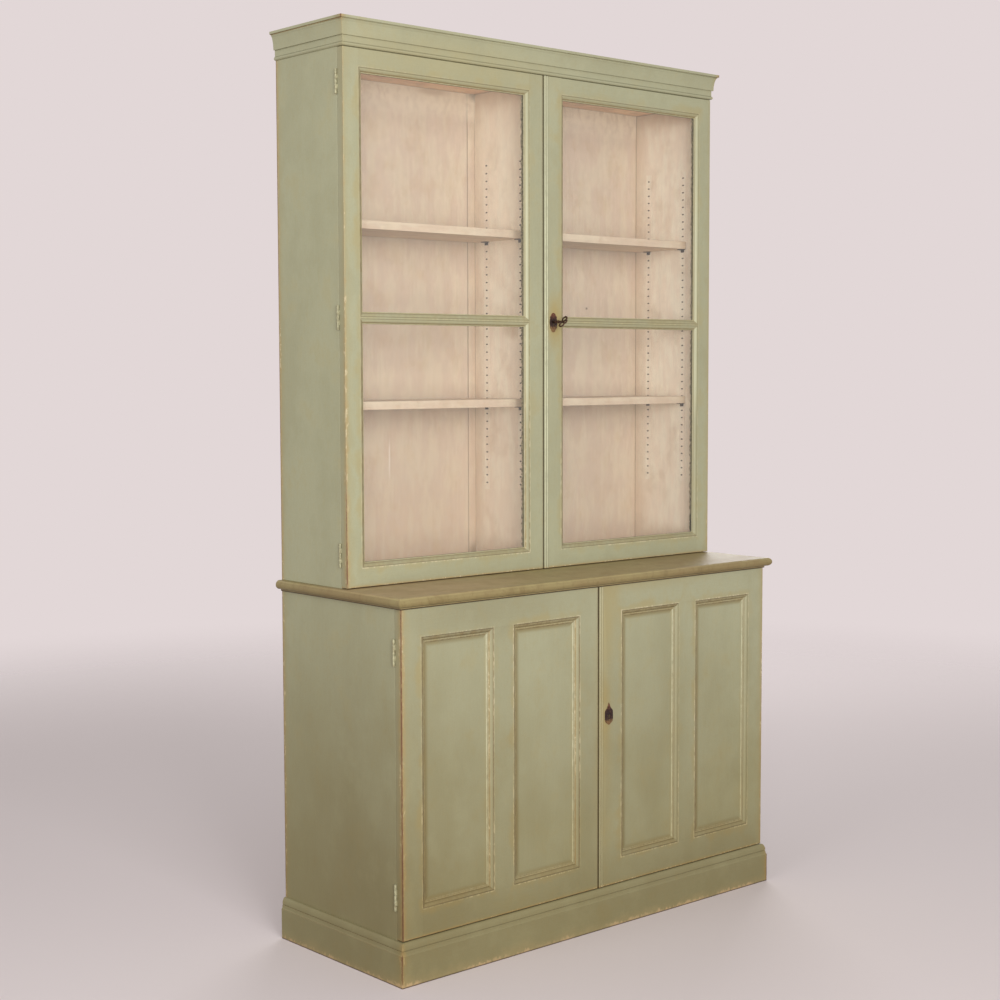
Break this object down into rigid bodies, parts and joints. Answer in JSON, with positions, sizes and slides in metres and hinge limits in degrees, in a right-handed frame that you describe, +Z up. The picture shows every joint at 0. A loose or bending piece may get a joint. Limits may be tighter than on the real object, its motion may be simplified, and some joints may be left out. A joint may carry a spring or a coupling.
{
  "type": "bookcase with cabinet doors",
  "caption": "Two-part painted bookcase: glazed upper doors over adjustable shelves, on a deeper cupboard with panelled doors, worktop and plinth.",
  "frame": {"origin": "on the floor, at the middle of the footprint of the whole bookcase", "axes": "+Z up, +X to the right seen from the front, -Y towards the front"},
  "size_m": [1.28, 0.486, 2.2],
  "materials": {
    "green_paint": "distressed sage green eggshell paint over wood, edges worn to cream",
    "worktop_paint": "olive-brown distressed paint over wood",
    "interior_paint": "brushed pinkish cream paint over wood",
    "shelf_paint": "cream paint over wood",
    "glass": "clear window glass",
    "painted_iron": "iron painted with the case and worn pale",
    "dark_bronze": "dark patinated bronze"
  },
  "bodies": {
    "case": {"plinth": "green_paint", "lower_left_side": "green_paint", "lower_right_side": "green_paint", "lower_floor": "interior_paint", "cupboard_shelf": "interior_paint", "lower_back": "interior_paint", "worktop": "worktop_paint", "upper_left_side": "green_paint", "upper_right_side": "green_paint", "upper_floor": "interior_paint", "upper_top": "interior_paint", "upper_partition": "interior_paint", "upper_back": "interior_paint", "low_shelf_left": "shelf_paint", "low_shelf_right": "shelf_paint", "high_shelf_left": "shelf_paint", "high_shelf_right": "shelf_paint", "cornice": "green_paint", "upper_left_bottom_hinge": "painted_iron", "upper_left_middle_hinge": "painted_iron", "upper_left_top_hinge": "painted_iron", "upper_right_bottom_hinge": "painted_iron", "upper_right_middle_hinge": "painted_iron", "upper_right_top_hinge": "painted_iron", "lower_left_bottom_hinge": "painted_iron", "lower_left_top_hinge": "painted_iron", "lower_right_bottom_hinge": "painted_iron", "lower_right_top_hinge": "painted_iron"},
    "upper_left_door": {"upper_left_door_hanging_stile": "green_paint", "upper_left_door_meeting_stile": "green_paint", "upper_left_door_bottom_rail": "green_paint", "upper_left_door_top_rail": "green_paint", "upper_left_door_glazing_bar": "green_paint", "upper_left_door_lower_pane": "glass", "upper_left_door_upper_pane": "glass"},
    "upper_right_door": {"upper_right_door_hanging_stile": "green_paint", "upper_right_door_meeting_stile": "green_paint", "upper_right_door_bottom_rail": "green_paint", "upper_right_door_top_rail": "green_paint", "upper_right_door_glazing_bar": "green_paint", "upper_right_door_lower_pane": "glass", "upper_right_door_upper_pane": "glass", "upper_escutcheon": "dark_bronze"},
    "lower_left_door": {"lower_left_door_hanging_stile": "green_paint", "lower_left_door_meeting_stile": "green_paint", "lower_left_door_bottom_rail": "green_paint", "lower_left_door_top_rail": "green_paint", "lower_left_door_muntin": "green_paint", "lower_left_door_outer_panel": "green_paint", "lower_left_door_inner_panel": "green_paint"},
    "lower_right_door": {"lower_right_door_hanging_stile": "green_paint", "lower_right_door_meeting_stile": "green_paint", "lower_right_door_bottom_rail": "green_paint", "lower_right_door_top_rail": "green_paint", "lower_right_door_muntin": "green_paint", "lower_right_door_outer_panel": "green_paint", "lower_right_door_inner_panel": "green_paint", "lower_escutcheon": "dark_bronze"},
    "key": {"key": "dark_bronze"},
    "lock_bolt": {"lock_bolt": "dark_bronze"}
  },
  "joints": [
    {"name": "upper_left_door_swing", "type": "hinge", "parent": "case", "child": "upper_left_door", "pos_m": [-0.6255, -0.0025, 1.5], "axis": [0, 0, -1], "range_deg": [0, 170]},
    {"name": "upper_right_door_swing", "type": "hinge", "parent": "case", "child": "upper_right_door", "pos_m": [0.6255, -0.0025, 1.5], "axis": [0, 0, 1], "range_deg": [0, 170]},
    {"name": "lower_left_door_swing", "type": "hinge", "parent": "case", "child": "lower_left_door", "pos_m": [-0.6255, -0.2025, 0.48], "axis": [0, 0, -1], "range_deg": [0, 170]},
    {"name": "lower_right_door_swing", "type": "hinge", "parent": "case", "child": "lower_right_door", "pos_m": [0.6255, -0.2025, 0.48], "axis": [0, 0, 1], "range_deg": [0, 170]},
    {"name": "key_turn", "type": "hinge", "parent": "upper_right_door", "child": "key", "pos_m": [0.033, -0.014, 1.5195], "axis": [0, 1, 0], "range_deg": [0, 90]},
    {"name": "bolt_slide", "type": "slide", "parent": "upper_right_door", "child": "lock_bolt", "axis": [-1, 0, 0], "range_m": [0, 0.009]}
  ],
  "couplings": [
    {"joint": "bolt_slide", "follows": "key_turn", "m_per_rad": 0.005729}
  ]
}
